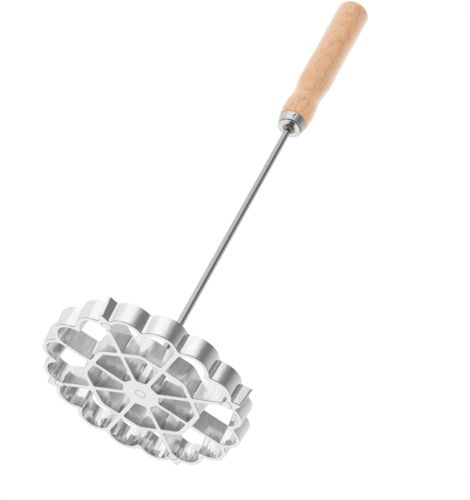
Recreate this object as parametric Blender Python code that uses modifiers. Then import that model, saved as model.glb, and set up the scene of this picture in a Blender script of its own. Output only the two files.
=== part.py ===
# Rosette iron: a cast aluminium flower mould on a steel rod with a turned beech handle.
# Lengths are in metres. The mould stands on its flat dipping face at z = 0, the rod rises
# along +Z, and two of the four lifting ears lie on the X axis, two on the Y axis.

import math

import bmesh
import bpy
from mathutils import Matrix, Vector

# Mould casting, sizes at the dipping face; every upright face leans outwards by the draft
MOULD_HEIGHT = 0.011
DRAFT_DEGREES = 5.0
SPOKE_COUNT = 8
PETALS_PER_SPOKE = 2
RIM_RADIUS = 0.0544
RIM_WALL = 0.0021
PETAL_OVERLAP = 0.0028
GROOVE_FILLET = 0.002
GROOVE_WEB = 0.0035
EAR_HEIGHT = 0.0019
EAR_DEGREES = 66.0
EAR_EDGE = 0.0005
EAR_FILLET = 0.0012
SPOKE_WIDTH = 0.0024
RING_RADIUS = 0.0298
RING_WALL = 0.0026
RING_CORNER = 0.0055
HUB_RADIUS = 0.0097
HUB_CORNER = 0.002
CELL_CORNER = 0.0007
BOSS_RADIUS = 0.0062
BOSS_HEIGHT = 0.0025
BOSS_EDGE = 0.0006
THREAD_FLOOR = 0.003

# Rod
ROD_DIAMETER = 0.004
ROD_CHAMFER = 0.0005
TANG_LENGTH = 0.045

# Ferrule, a drawn cup over the handle's lower end
FERRULE_BASE = 0.2
FERRULE_LENGTH = 0.006
FERRULE_END_RADIUS = 0.007
FERRULE_RIM_RADIUS = 0.0082
FERRULE_SHEET = 0.0007
FERRULE_EDGE = 0.0009
FERRULE_HOLE_RADIUS = 0.0038
DIMPLE_RADIUS = 0.0011
DIMPLE_DEPTH = 0.0004
DIMPLE_DEGREES = 32.0

# Turned handle
TOTAL_LENGTH = 0.31
BORE_MOUTH_RADIUS = 0.0025
BORE_MOUTH_DEPTH = 0.003
COLLAR_RADIUS = 0.0079
BEAD_RADIUS = 0.0092
BEAD_LENGTH = 0.0097
WAIST_RADIUS = 0.0081
WAIST_LENGTH = 0.0112
SHOULDER_RADIUS = 0.0095
SHOULDER_LENGTH = 0.0158
GRIP_RADIUS = 0.0093
GRIP_LENGTH = 0.0225
END_RADIUS = 0.0096
DOME_LENGTH = 0.005

# Clearance between pieces that touch, and how far a cutter passes the face that it cuts
FIT_GAP = 0.0003
CUT_OVERRUN = 0.001

# Counts of straight steps along the curves
PETAL_STEPS = 12
GROOVE_STEPS = 5
EAR_EDGE_STEPS = 4
EAR_FILLET_STEPS = 4
CUSP_STEPS = 6
CORNER_STEPS = 4
RING_STEPS = 7
PROFILE_STEPS = 8
DOME_STEPS = 10
TURNED_STEPS = 36
MERGE_DISTANCE = 0.00001

# Colour, metallic value and roughness of each piece
FINISHES = {
    "cast_aluminium": ("E4E5E6", 1.0, 0.22),
    "bright_steel": ("C9C8C5", 1.0, 0.2),
    "plated_ferrule": ("CDCDCB", 1.0, 0.24),
    "beech": ("DFB288", 0.0, 0.5),
}

DRAFT_SLOPE = math.tan(math.radians(DRAFT_DEGREES))
PETAL_COUNT = SPOKE_COUNT * PETALS_PER_SPOKE
PETAL_ANGLE = 2 * math.pi / PETAL_COUNT
SPOKE_ANGLE = 2 * math.pi / SPOKE_COUNT
EAR_ANGLE = math.pi / 2
ROD_RADIUS = ROD_DIAMETER / 2
ROD_BOTTOM = THREAD_FLOOR + FIT_GAP
BOSS_TOP = MOULD_HEIGHT + BOSS_HEIGHT
THREAD_RADIUS = ROD_RADIUS + FIT_GAP
SPIGOT_BASE = FERRULE_BASE + FERRULE_SHEET + FIT_GAP
ROD_TOP = SPIGOT_BASE + TANG_LENGTH
FERRULE_TOP = FERRULE_BASE + FERRULE_LENGTH
HANDLE_SHOULDER = FERRULE_TOP + FIT_GAP


def petal_radius():
    """Radius of a petal whose arc reaches the rim and whose circle overlaps its neighbours'."""
    half_pitch_share = math.sin(PETAL_ANGLE / 2)
    return (RIM_RADIUS * half_pitch_share + PETAL_OVERLAP / 2) / (1 + half_pitch_share)


def groove_radius(lean):
    """Radius at which a groove's fillet is centred, tangent to the petals beside it."""
    reach = PETAL_RADIUS + lean + GROOVE_FILLET
    return PETAL_PITCH_RADIUS + math.sqrt(reach ** 2 - PETAL_HALF_PITCH ** 2)


def cusp_fillet():
    """Radius of the tooth between two petals inside the rim, tangent to both of their walls.

    The tooth ends where the web behind a groove has its named thickness.
    """
    wall = PETAL_RADIUS - RIM_WALL
    tip = groove_radius(0) - GROOVE_FILLET - GROOVE_WEB - PETAL_PITCH_RADIUS
    return (tip ** 2 + PETAL_HALF_PITCH ** 2 - wall ** 2) / (2 * (wall - tip))


PETAL_RADIUS = petal_radius()
PETAL_CIRCLE = RIM_RADIUS - PETAL_RADIUS
PETAL_HALF_PITCH = PETAL_CIRCLE * math.sin(PETAL_ANGLE / 2)
PETAL_PITCH_RADIUS = PETAL_CIRCLE * math.cos(PETAL_ANGLE / 2)
CUSP_FILLET = cusp_fillet()


def linear_colour(hex_code):
    """Linear RGBA for an sRGB hex colour."""
    shares = [int(hex_code[i : i + 2], 16) / 255 for i in (0, 2, 4)]
    return [s / 12.92 if s <= 0.04045 else ((s + 0.055) / 1.055) ** 2.4 for s in shares] + [1.0]


def make_material(name):
    """A Principled material from the table of finishes."""
    colour, metallic, roughness = FINISHES[name]
    material = bpy.data.materials.new(name)
    material.use_nodes = True
    shader = material.node_tree.nodes["Principled BSDF"]
    shader.inputs["Base Color"].default_value = linear_colour(colour)
    shader.inputs["Metallic"].default_value = metallic
    shader.inputs["Roughness"].default_value = roughness
    material.diffuse_color = linear_colour(colour)
    return material


def add_object(name, mesh, collection, material=None):
    """Link a mesh as a named object, with its material."""
    piece = bpy.data.objects.new(name, mesh)
    collection.objects.link(piece)
    if material:
        mesh.materials.append(material)
    return piece


def as_cutter(tool):
    """Mark an object that is only used to cut or join another."""
    tool.hide_render = True
    tool.display_type = "WIRE"
    return tool


def add_boolean(piece, tool, operation):
    """Cut or join another object with the exact solver."""
    modifier = piece.modifiers.new(tool.name, "BOOLEAN")
    modifier.object = as_cutter(tool)
    modifier.operation = operation
    modifier.solver = "EXACT"


def polar(radius, angle):
    """Point of a plan outline at a radius and an angle."""
    return Vector((radius * math.cos(angle), radius * math.sin(angle)))


def arc(centre, start, end, steps, clockwise=False):
    """Points of an arc about a centre, from one point to another, both included."""
    first = start - centre
    last = end - centre
    begin = math.atan2(first.y, first.x)
    sweep = (math.atan2(last.y, last.x) - begin) % (2 * math.pi)
    if clockwise:
        sweep -= 2 * math.pi
    return [centre + polar(first.length, begin + sweep * i / steps) for i in range(steps + 1)]


def crossing(point_a, way_a, point_b, way_b):
    """Point where two straight lines of a plan cross."""
    scale = (point_b - point_a).cross(way_b) / way_a.cross(way_b)
    return point_a + way_a * scale


def line_to_circle(point, way, centre, radius):
    """First point where a line from outside meets a circle."""
    offset = point - centre
    half = offset.dot(way)
    return point + way * (-half - math.sqrt(half ** 2 - offset.dot(offset) + radius ** 2))


def rounded(corner, before, after, radius, steps):
    """Arc of a given radius in the corner between two neighbours, no longer than they allow."""
    way_in = before - corner
    way_out = after - corner
    room = min(way_in.length, way_out.length) / 2
    half = way_in.angle(way_out) / 2
    tangent = min(radius / math.tan(half), room)
    way_in.normalize()
    way_out.normalize()
    centre = corner + (way_in + way_out).normalized() * tangent / math.cos(half)
    clockwise = way_in.cross(way_out) > 0
    return arc(centre, corner + way_in * tangent, corner + way_out * tangent, steps, clockwise)


def groove(angle, lean):
    """Outline points of the concave groove between the two petals beside an angle."""
    centre = polar(groove_radius(lean), angle)
    ends = []
    for side in (-1, 1):
        petal = polar(PETAL_CIRCLE, angle + side * PETAL_ANGLE / 2)
        ends.append(petal + (centre - petal).normalized() * (PETAL_RADIUS + lean))
    return arc(centre, ends[0], ends[1], GROOVE_STEPS, clockwise=True)


def ear_foot(angle, side, tip, lean):
    """Fillet at one foot of an ear: its centre, and its ends on the petal and on the ear."""
    half = math.radians(EAR_DEGREES) / 2
    petal = polar(PETAL_CIRCLE, angle + side * PETAL_ANGLE / 2)
    down = polar(-1, angle - side * half)
    outward = polar(1, angle + side * (math.pi / 2 - half)) * EAR_FILLET
    radius = PETAL_RADIUS + lean
    centre = line_to_circle(tip + outward, down, petal, radius + EAR_FILLET)
    return centre, petal + (centre - petal).normalized() * radius, centre - outward


def ear(angle, lean):
    """Outline points of an ear: two flat flanks with a rounded tip and a fillet at each foot."""
    slope = math.sin(math.radians(EAR_DEGREES) / 2)
    tip = polar(RIM_RADIUS + EAR_HEIGHT - EAR_EDGE + (EAR_EDGE + lean) / slope, angle)
    first, first_petal, first_flank = ear_foot(angle, -1, tip, lean)
    last, last_petal, last_flank = ear_foot(angle, 1, tip, lean)
    return (
        arc(first, first_petal, first_flank, EAR_FILLET_STEPS, clockwise=True)
        + rounded(tip, first_flank, last_flank, EAR_EDGE, EAR_EDGE_STEPS)
        + arc(last, last_flank, last_petal, EAR_FILLET_STEPS, clockwise=True)
    )


def is_ear(angle):
    """Whether an ear stands at this angle, in place of a groove."""
    turns = angle / EAR_ANGLE
    return abs(turns - round(turns)) < 1 / PETAL_COUNT


def rim_outline(lean):
    """Outer outline of the mould: petals, with a groove or an ear in each valley."""
    angles = [index * PETAL_ANGLE for index in range(PETAL_COUNT)]
    valleys = [ear(angle, lean) if is_ear(angle) else groove(angle, lean) for angle in angles]
    outline = []
    for index, valley in enumerate(valleys):
        following = valleys[(index + 1) % PETAL_COUNT]
        centre = polar(PETAL_CIRCLE, angles[index] + PETAL_ANGLE / 2)
        outline.extend(valley)
        outline.extend(arc(centre, valley[-1], following[0], PETAL_STEPS)[1:-1])
    return outline


def sector(index, lean):
    """Mid angle of a sector, and the two spoke faces that bound it, each as a point and a way."""
    faces = []
    for side, angle in ((1, index * SPOKE_ANGLE), (-1, (index + 1) * SPOKE_ANGLE)):
        across = side * (SPOKE_WIDTH / 2 + lean)
        faces.append((polar(across, angle + math.pi / 2), polar(1, angle)))
    return (index + 0.5) * SPOKE_ANGLE, faces


def inner_cell(index, lean):
    """Outline of an opening between the hub, two spokes and the eight-sided ring."""
    middle, (first, second) = sector(index, lean)
    flat = RING_RADIUS - RING_WALL - lean
    ring_corner = polar(flat / math.cos(SPOKE_ANGLE / 2), middle)
    ring_ends = [
        crossing(*face, polar(flat, angle), polar(1, angle + math.pi / 2))
        for face, angle in ((first, index * SPOKE_ANGLE), (second, (index + 1) * SPOKE_ANGLE))
    ]
    hub = (polar(HUB_RADIUS + lean, middle), polar(1, middle + math.pi / 2))
    hub_ends = [crossing(*face, *hub) for face in (first, second)]
    corners = [
        (hub_ends[0], HUB_CORNER, CORNER_STEPS),
        (ring_ends[0], CELL_CORNER, CORNER_STEPS),
        (ring_corner, RING_CORNER, RING_STEPS),
        (ring_ends[1], CELL_CORNER, CORNER_STEPS),
        (hub_ends[1], HUB_CORNER, CORNER_STEPS),
    ]
    return round_all(corners)


def outer_cell(index, lean):
    """Outline of an opening between the ring, two spokes and the inside of two petals."""
    middle, (first, second) = sector(index, lean)
    flat = RING_RADIUS + lean
    ring_corner = polar(flat / math.cos(SPOKE_ANGLE / 2), middle)
    ring_ends = [
        crossing(*face, polar(flat, angle), polar(1, angle + math.pi / 2))
        for face, angle in ((first, index * SPOKE_ANGLE), (second, (index + 1) * SPOKE_ANGLE))
    ]
    radius = PETAL_RADIUS - RIM_WALL - lean
    reach = radius + CUSP_FILLET + lean
    cusp = polar(PETAL_PITCH_RADIUS + math.sqrt(reach ** 2 - PETAL_HALF_PITCH ** 2), middle)
    centres = [polar(PETAL_CIRCLE, middle + side * PETAL_ANGLE / 2) for side in (-1, 1)]
    cusp_ends = [centre + (cusp - centre).normalized() * radius for centre in centres]
    rim_ends = []
    for face, centre in ((first, centres[0]), (second, centres[1])):
        outside = face[0] + face[1] * (RIM_RADIUS + EAR_HEIGHT)
        rim_ends.append(line_to_circle(outside, -face[1], centre, radius))
    near = arc(centres[0], rim_ends[0], cusp_ends[0], PETAL_STEPS)
    far = arc(centres[1], cusp_ends[1], rim_ends[1], PETAL_STEPS)
    between = arc(cusp, cusp_ends[0], cusp_ends[1], CUSP_STEPS, clockwise=True)[1:-1]
    corners = [(ring_ends[0], CELL_CORNER, CORNER_STEPS)]
    corners.append((near[0], CELL_CORNER, CORNER_STEPS))
    corners.extend((point, 0, 0) for point in near[1:] + between + far[:-1])
    corners.append((far[-1], CELL_CORNER, CORNER_STEPS))
    corners.append((ring_ends[1], CELL_CORNER, CORNER_STEPS))
    corners.append((ring_corner, RING_CORNER + RING_WALL, RING_STEPS))
    return round_all(corners)


def round_all(corners):
    """Closed outline with each listed corner rounded by its own radius."""
    outline = []
    for index, (corner, radius, steps) in enumerate(corners):
        if not steps:
            outline.append(corner)
            continue
        before = corners[index - 1][0]
        after = corners[(index + 1) % len(corners)][0]
        outline.extend(rounded(corner, before, after, radius, steps))
    return outline


def add_drafted_prism(bm, outline_at, bottom, top):
    """Solid between two heights whose outline leans by the draft as it rises."""
    loops = []
    for height in (bottom, top):
        outline = outline_at(height * DRAFT_SLOPE)
        ring = [bm.verts.new((point.x, point.y, height)) for point in outline]
        face = bm.faces.new(ring)
        loops.extend(face.edges)
    bmesh.ops.bridge_loops(bm, edges=loops)


def finished_mesh(name, bm):
    """Mesh of a closed bmesh, with its faces pointing out."""
    bmesh.ops.recalc_face_normals(bm, faces=bm.faces)
    mesh = bpy.data.meshes.new(name)
    bm.to_mesh(mesh)
    bm.free()
    return mesh


def turned_object(name, profile, collection, material=None):
    """Solid turned about the Z axis from a profile of radius and height, outer side first."""
    bm = bmesh.new()
    points = [bm.verts.new((radius, 0, height)) for radius, height in profile]
    for start, end in zip(points, points[1:]):
        bm.edges.new((start, end))
    if profile[0][0] > 0:
        bm.edges.new((points[-1], points[0]))
    mesh = bpy.data.meshes.new(name)
    bm.to_mesh(mesh)
    bm.free()
    piece = add_object(name, mesh, collection, material)
    screw = piece.modifiers.new("Turning", "SCREW")
    screw.axis = "Z"
    screw.steps = TURNED_STEPS
    screw.render_steps = TURNED_STEPS
    screw.use_merge_vertices = True
    screw.merge_threshold = MERGE_DISTANCE
    screw.use_smooth_shade = True
    return piece


def swell(start_radius, end_radius, start, end, steps):
    """Profile stretch between two level radii, as a half wave, without its last point."""
    stretch = []
    for step in range(steps):
        share = step / steps
        wave = (1 - math.cos(math.pi * share)) / 2
        stretch.append((start_radius + (end_radius - start_radius) * wave, start + (end - start) * share))
    return stretch


def quarter_round(centre_radius, centre_height, across, along, steps):
    """Profile points of a quarter ellipse, from its widest point to its end."""
    turns = [math.pi / 2 * step / steps for step in range(steps + 1)]
    return [
        (centre_radius + across * math.cos(turn), centre_height + along * math.sin(turn))
        for turn in turns
    ]


def build_mould(parts, cutters):
    """The flower casting: rim of petals, ears, ring, spokes, hub and threaded boss."""
    bm = bmesh.new()
    add_drafted_prism(bm, rim_outline, 0, MOULD_HEIGHT)
    blank = finished_mesh("rosette_mould", bm)
    mould = add_object("rosette_mould", blank, parts, make_material("cast_aluminium"))

    bm = bmesh.new()
    for index in range(SPOKE_COUNT):
        for cell in (inner_cell, outer_cell):
            add_drafted_prism(
                bm,
                lambda lean, cell=cell, index=index: cell(index, lean),
                -CUT_OVERRUN,
                MOULD_HEIGHT + CUT_OVERRUN,
            )
    openings = add_object("cell_openings", finished_mesh("cell_openings", bm), cutters)
    add_boolean(mould, openings, "DIFFERENCE")

    edge_start = BOSS_RADIUS - BOSS_EDGE
    boss = turned_object(
        "threaded_boss",
        [
            (0, BOSS_TOP),
            (edge_start, BOSS_TOP),
            (BOSS_RADIUS, BOSS_TOP - BOSS_EDGE),
            (BOSS_RADIUS + BOSS_HEIGHT * DRAFT_SLOPE, MOULD_HEIGHT),
            (BOSS_RADIUS + BOSS_HEIGHT * DRAFT_SLOPE, MOULD_HEIGHT - CUT_OVERRUN),
            (0, MOULD_HEIGHT - CUT_OVERRUN),
        ],
        cutters,
    )
    add_boolean(mould, boss, "UNION")

    hole = turned_object(
        "threaded_hole",
        [
            (0, BOSS_TOP + CUT_OVERRUN),
            (THREAD_RADIUS, BOSS_TOP + CUT_OVERRUN),
            (THREAD_RADIUS, THREAD_FLOOR),
            (0, THREAD_FLOOR),
        ],
        cutters,
    )
    add_boolean(mould, hole, "DIFFERENCE")
    return mould


def build_rod(parts):
    """Straight rod, threaded into the mould at its foot and held in the handle's bore."""
    return turned_object(
        "rod",
        [
            (0, ROD_TOP),
            (ROD_RADIUS - ROD_CHAMFER, ROD_TOP),
            (ROD_RADIUS, ROD_TOP - ROD_CHAMFER),
            (ROD_RADIUS, ROD_BOTTOM + ROD_CHAMFER),
            (ROD_RADIUS - ROD_CHAMFER, ROD_BOTTOM),
            (0, ROD_BOTTOM),
        ],
        parts,
        make_material("bright_steel"),
    )


def ferrule_radius(height):
    """Outer radius of the ferrule's wall, which widens evenly towards the handle."""
    share = (height - FERRULE_BASE) / FERRULE_LENGTH
    return FERRULE_END_RADIUS + (FERRULE_RIM_RADIUS - FERRULE_END_RADIUS) * share


def build_ferrule(parts, cutters):
    """Drawn cup with a rounded edge, a hole for the rod and a punched dimple in its side."""
    corner = quarter_round(
        ferrule_radius(FERRULE_BASE + FERRULE_EDGE) - FERRULE_EDGE,
        FERRULE_BASE + FERRULE_EDGE,
        FERRULE_EDGE,
        -FERRULE_EDGE,
        PROFILE_STEPS,
    )
    inside = FERRULE_BASE + FERRULE_SHEET
    ferrule = turned_object(
        "ferrule",
        [(FERRULE_RIM_RADIUS, FERRULE_TOP)]
        + corner
        + [
            (FERRULE_HOLE_RADIUS, FERRULE_BASE),
            (FERRULE_HOLE_RADIUS, inside),
            (ferrule_radius(inside) - FERRULE_SHEET, inside),
            (FERRULE_RIM_RADIUS - FERRULE_SHEET, FERRULE_TOP),
        ],
        parts,
        make_material("plated_ferrule"),
    )
    height = FERRULE_BASE + FERRULE_LENGTH / 2
    angle = math.radians(DIMPLE_DEGREES)
    centre = polar(ferrule_radius(height) + DIMPLE_RADIUS - DIMPLE_DEPTH, angle)
    bm = bmesh.new()
    bmesh.ops.create_uvsphere(
        bm,
        u_segments=PROFILE_STEPS * 2,
        v_segments=PROFILE_STEPS,
        radius=DIMPLE_RADIUS,
        matrix=Matrix.Translation((centre.x, centre.y, height)),
    )
    punch = add_object("dimple_punch", finished_mesh("dimple_punch", bm), cutters)
    add_boolean(ferrule, punch, "DIFFERENCE")
    return ferrule


def build_handle(parts):
    """Turned handle: spigot in the ferrule, bead, waist, swelling grip and domed end."""
    bead = HANDLE_SHOULDER + BEAD_LENGTH
    waist = bead + WAIST_LENGTH
    shoulder = waist + SHOULDER_LENGTH
    grip = shoulder + GRIP_LENGTH
    dome = TOTAL_LENGTH - DOME_LENGTH
    rising = []
    spigot_wall = FERRULE_SHEET + FIT_GAP
    rising.append((ferrule_radius(SPIGOT_BASE) - spigot_wall, SPIGOT_BASE))
    rising.append((FERRULE_RIM_RADIUS - spigot_wall, FERRULE_TOP))
    rising.append((FERRULE_RIM_RADIUS - spigot_wall, HANDLE_SHOULDER))
    collar = quarter_round(
        COLLAR_RADIUS, bead, BEAD_RADIUS - COLLAR_RADIUS, HANDLE_SHOULDER - bead, PROFILE_STEPS
    )
    rising.extend(reversed(collar[1:]))
    rising.extend(swell(BEAD_RADIUS, WAIST_RADIUS, bead, waist, PROFILE_STEPS))
    rising.extend(swell(WAIST_RADIUS, SHOULDER_RADIUS, waist, shoulder, PROFILE_STEPS))
    rising.extend(swell(SHOULDER_RADIUS, GRIP_RADIUS, shoulder, grip, PROFILE_STEPS))
    rising.extend(swell(GRIP_RADIUS, END_RADIUS, grip, dome, PROFILE_STEPS))
    rising.extend(quarter_round(0, dome, END_RADIUS, DOME_LENGTH, DOME_STEPS)[:-1])
    bore_radius = ROD_RADIUS + FIT_GAP
    bore_step = SPIGOT_BASE + BORE_MOUTH_DEPTH
    bore = [
        (BORE_MOUTH_RADIUS, SPIGOT_BASE),
        (BORE_MOUTH_RADIUS, bore_step),
        (bore_radius, bore_step),
        (bore_radius, ROD_TOP + FIT_GAP),
        (0, ROD_TOP + FIT_GAP),
    ]
    profile = [(0, TOTAL_LENGTH)] + list(reversed(rising)) + bore
    return turned_object("handle", profile, parts, make_material("beech"))


def main():
    for stale in list(bpy.data.objects):
        bpy.data.objects.remove(stale, do_unlink=True)
    parts = bpy.data.collections.new("rosette_iron")
    cutters = bpy.data.collections.new("cutters")
    for collection in (parts, cutters):
        bpy.context.scene.collection.children.link(collection)
    build_mould(parts, cutters)
    build_rod(parts)
    build_ferrule(parts, cutters)
    build_handle(parts)


main()
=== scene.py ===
import math

import bmesh
import bpy
from mathutils import Matrix, Vector


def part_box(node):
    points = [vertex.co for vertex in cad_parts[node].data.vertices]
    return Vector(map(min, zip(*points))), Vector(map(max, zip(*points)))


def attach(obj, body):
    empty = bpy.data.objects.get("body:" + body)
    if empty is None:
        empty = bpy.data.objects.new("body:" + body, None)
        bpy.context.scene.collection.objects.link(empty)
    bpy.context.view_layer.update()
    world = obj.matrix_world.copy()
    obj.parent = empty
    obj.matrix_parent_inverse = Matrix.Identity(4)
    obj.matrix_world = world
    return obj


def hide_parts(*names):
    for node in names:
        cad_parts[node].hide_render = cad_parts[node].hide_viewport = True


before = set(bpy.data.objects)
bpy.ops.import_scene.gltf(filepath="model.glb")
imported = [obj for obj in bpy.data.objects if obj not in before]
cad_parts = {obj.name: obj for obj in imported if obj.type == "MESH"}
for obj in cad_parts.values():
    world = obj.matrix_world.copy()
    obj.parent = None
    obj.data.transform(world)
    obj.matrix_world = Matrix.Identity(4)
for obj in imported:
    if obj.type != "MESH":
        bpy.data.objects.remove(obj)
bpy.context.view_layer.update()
print("frame loaded:", ", ".join(sorted(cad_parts)))

# Points nearer than these are taken as one: while an outline is traced, and in a whole piece
weldDistance = 1e-6
finalWeld = 1e-7

# A row of points this many roundings from a corner keeps the stretch beside it flat
holdingRow = 1.3


def linearColour(hexCode):
    # an sRGB colour code, turned into linear light
    shares = [int(hexCode[i:i + 2], 16) / 255 for i in (0, 2, 4)]
    return [s / 12.92 if s <= 0.04045 else ((s + 0.055) / 1.055) ** 2.4 for s in shares] + [1.0]


def addNode(tree, kind, inputs=None, **settings):
    node = tree.nodes.new(kind)
    for name, value in settings.items():
        setattr(node, name, value)
    for socket, value in (inputs or {}).items():
        if isinstance(value, bpy.types.NodeSocket):
            tree.links.new(value, node.inputs[socket])
        else:
            node.inputs[socket].default_value = value
    return node


def maths(tree, kind, first, second=0.0):
    return addNode(tree, "ShaderNodeMath", {0: first, 1: second}, operation=kind).outputs["Value"]


def objectPlace(tree):
    return addNode(tree, "ShaderNodeTexCoord").outputs["Object"]


def direction(azimuth, elevation):
    a, e = math.radians(azimuth), math.radians(elevation)
    return Vector((math.cos(a) * math.cos(e), math.sin(a) * math.cos(e), math.sin(e)))


def newMaterial(name, metallic, roughness):
    material = bpy.data.materials.new(name)
    material.use_nodes = True
    tree = material.node_tree
    shader = tree.nodes["Principled BSDF"]
    shader.inputs["Metallic"].default_value = metallic
    shader.inputs["Roughness"].default_value = roughness
    return material, tree, shader


def mapRange(tree, value, low, high, toLow=0.0, toHigh=1.0, smooth=False):
    node = addNode(tree, "ShaderNodeMapRange", {
        "Value": value, "From Min": low, "From Max": high, "To Min": toLow, "To Max": toHigh,
    }, interpolation_type="SMOOTHSTEP" if smooth else "LINEAR")
    return node.outputs["Result"]


# Camera: fitted to the photo, which looks up at the dipping face from below
camera = {
    "place": (0.549837, 0.426375, -0.419182),
    "forward": (-0.635219, -0.483235, 0.602478),
    "top": (0.712376, -0.065245, 0.698758),
    "lens": 118.08,
    "sensor": 36.0,
    "farClip": 10.0,
}


def addCamera():
    data = bpy.data.cameras.new("photoCamera")
    data.lens = camera["lens"]
    data.sensor_width = camera["sensor"]
    data.clip_end = camera["farClip"]
    eye = bpy.data.objects.new("photoCamera", data)
    back = -Vector(camera["forward"]).normalized()
    side = Vector(camera["top"]).cross(back).normalized()
    turn = Matrix((side, back.cross(side), back)).transposed()
    eye.matrix_world = Matrix.Translation(camera["place"]) @ turn.to_4x4()
    bpy.context.scene.collection.objects.link(eye)
    bpy.context.scene.camera = eye


# Studio: a white tent, plainly lit, whose walls are brighter above and darker on the camera's
# right and behind the object. Each wall patch has a direction, a core and an edge in degrees.
studio = {
    "white": 1.0,
    "tentLevel": 1.0,
    "patches": [
        {"azimuth": -150.0, "elevation": 32.0, "core": 15.0, "edge": 55.0, "level": 0.8},
        {"azimuth": 165.0, "elevation": 30.0, "core": 5.0, "edge": 40.0, "level": 0.85},
        {"azimuth": 0.0, "elevation": 90.0, "core": 48.0, "edge": 60.0, "level": 0.85},
        {"azimuth": -60.0, "elevation": -30.0, "core": 20.0, "edge": 48.0, "level": 0.42},
        {"azimuth": 130.0, "elevation": -30.0, "core": 20.0, "edge": 45.0, "level": 0.22},
        {"azimuth": 38.0, "elevation": -42.0, "core": 38.0, "edge": 60.0, "level": 0.15},
        {"azimuth": -142.0, "elevation": -38.0, "core": 25.0, "edge": 42.0, "level": 1.2},
        {"azimuth": -142.0, "elevation": 0.0, "core": 8.0, "edge": 24.0, "level": 0.4},
        {"azimuth": 100.0, "elevation": 28.0, "core": 5.0, "edge": 50.0, "level": 0.58},
        {"azimuth": 71.0, "elevation": 30.0, "core": 10.0, "edge": 38.0, "level": 0.27},
        {"azimuth": 74.0, "elevation": 46.0, "core": 13.0, "edge": 26.0, "level": 0.19},
        {"azimuth": -18.0, "elevation": 12.0, "core": 15.0, "edge": 24.0, "level": 1.2},
        {"azimuth": 3.0, "elevation": 12.0, "core": 15.0, "edge": 24.0, "level": 1.2},
    ],
    "lamps": [
        {"azimuth": -20.0, "elevation": 40.0, "power": 28.3},
        {"azimuth": 145.0, "elevation": 18.0, "power": 34.2},
        {"azimuth": 75.0, "elevation": -25.0, "power": 43.2},
        {"azimuth": 10.0, "elevation": -55.0, "power": 29.8},
    ],
    "lampDistance": 3.0,
    "lampSize": 1.5,
    "lampAim": (0.0, 0.0, 0.15),
    "floorSize": 6.0,
    "floorDrop": 0.0002,
    "floorColour": "F2F2F2",
    "floorRoughness": 0.9,
    "fadeStart": 0.15,
    "fadeEnd": 1.6,
}


def addPatch(tree, look, below, patch):
    facing = addNode(tree, "ShaderNodeVectorMath", {
        0: look, 1: direction(patch["azimuth"], patch["elevation"]),
    }, operation="DOT_PRODUCT")
    share = addNode(tree, "ShaderNodeMapRange", {
        "Value": facing.outputs["Value"],
        "From Min": math.cos(math.radians(patch["edge"])),
        "From Max": math.cos(math.radians(patch["core"])),
    })
    level = addNode(tree, "ShaderNodeMix", {
        "Factor": share.outputs["Result"], "A": below, "B": patch["level"],
    })
    return level.outputs["Result"]


def addTent():
    # the camera itself sees plain white; light and reflections come from the tent's patches
    world = bpy.data.worlds.new("whiteTent")
    bpy.context.scene.world = world
    world.use_nodes = True
    tree = world.node_tree
    tree.nodes.clear()
    path = addNode(tree, "ShaderNodeLightPath")
    look = addNode(tree, "ShaderNodeTexCoord").outputs["Generated"]
    level = studio["tentLevel"]
    for patch in studio["patches"]:
        level = addPatch(tree, look, level, patch)
    strength = addNode(tree, "ShaderNodeMix", {
        "Factor": path.outputs["Is Camera Ray"], "A": level, "B": studio["white"],
    })
    background = addNode(tree, "ShaderNodeBackground", {
        "Color": linearColour("FFFFFF"), "Strength": strength.outputs["Result"],
    })
    addNode(tree, "ShaderNodeOutputWorld", {"Surface": background.outputs["Background"]})


def addLamps():
    # the lamps light only what is matt: polished metal shows the tent's walls
    for settings in studio["lamps"]:
        data = bpy.data.lights.new("softLamp", "AREA")
        data.size = studio["lampSize"]
        data.energy = settings["power"]
        lamp = bpy.data.objects.new("softLamp", data)
        toLamp = direction(settings["azimuth"], settings["elevation"])
        lamp.location = toLamp * studio["lampDistance"] + Vector(studio["lampAim"])
        lamp.rotation_euler = toLamp.to_track_quat("Z", "Y").to_euler()
        lamp.visible_camera = False
        lamp.visible_glossy = False
        bpy.context.scene.collection.objects.link(lamp)


def paleFloor():
    # the photo is taken from under the floor, so the floor shows only from above, and far from
    # the object it fades into the white tent
    material, tree, shader = newMaterial("paleFloor", 0.0, studio["floorRoughness"])
    shader.inputs["Base Color"].default_value = linearColour(studio["floorColour"])
    side = addNode(tree, "ShaderNodeNewGeometry")
    clear = addNode(tree, "ShaderNodeBsdfTransparent")
    length = addNode(tree, "ShaderNodeVectorMath", {0: objectPlace(tree)}, operation="LENGTH")
    away = length.outputs["Value"]
    fade = mapRange(tree, away, studio["fadeStart"], studio["fadeEnd"], smooth=True)
    oneSided = addNode(tree, "ShaderNodeMixShader", {
        0: maths(tree, "MAXIMUM", side.outputs["Backfacing"], fade),
        1: shader.outputs["BSDF"],
        2: clear.outputs["BSDF"],
    })
    tree.links.new(oneSided.outputs["Shader"], tree.nodes["Material Output"].inputs["Surface"])
    return material


def addFloor():
    bm = bmesh.new()
    bmesh.ops.create_grid(bm, x_segments=1, y_segments=1, size=studio["floorSize"] / 2)
    bmesh.ops.translate(bm, verts=bm.verts, vec=(0, 0, -studio["floorDrop"]))
    mesh = bpy.data.meshes.new("paleFloor")
    bm.to_mesh(mesh)
    bm.free()
    mesh.materials.append(paleFloor())
    floor = bpy.data.objects.new("paleFloor", mesh)
    bpy.context.scene.collection.objects.link(floor)
    floor.visible_glossy = False
    floor.visible_diffuse = False
    floor.visible_transmission = False
    floor.visible_shadow = False


addCamera()
addTent()
addLamps()
addFloor()
bpy.context.scene.view_settings.view_transform = "Standard"
print("camera and studio placed")


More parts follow.
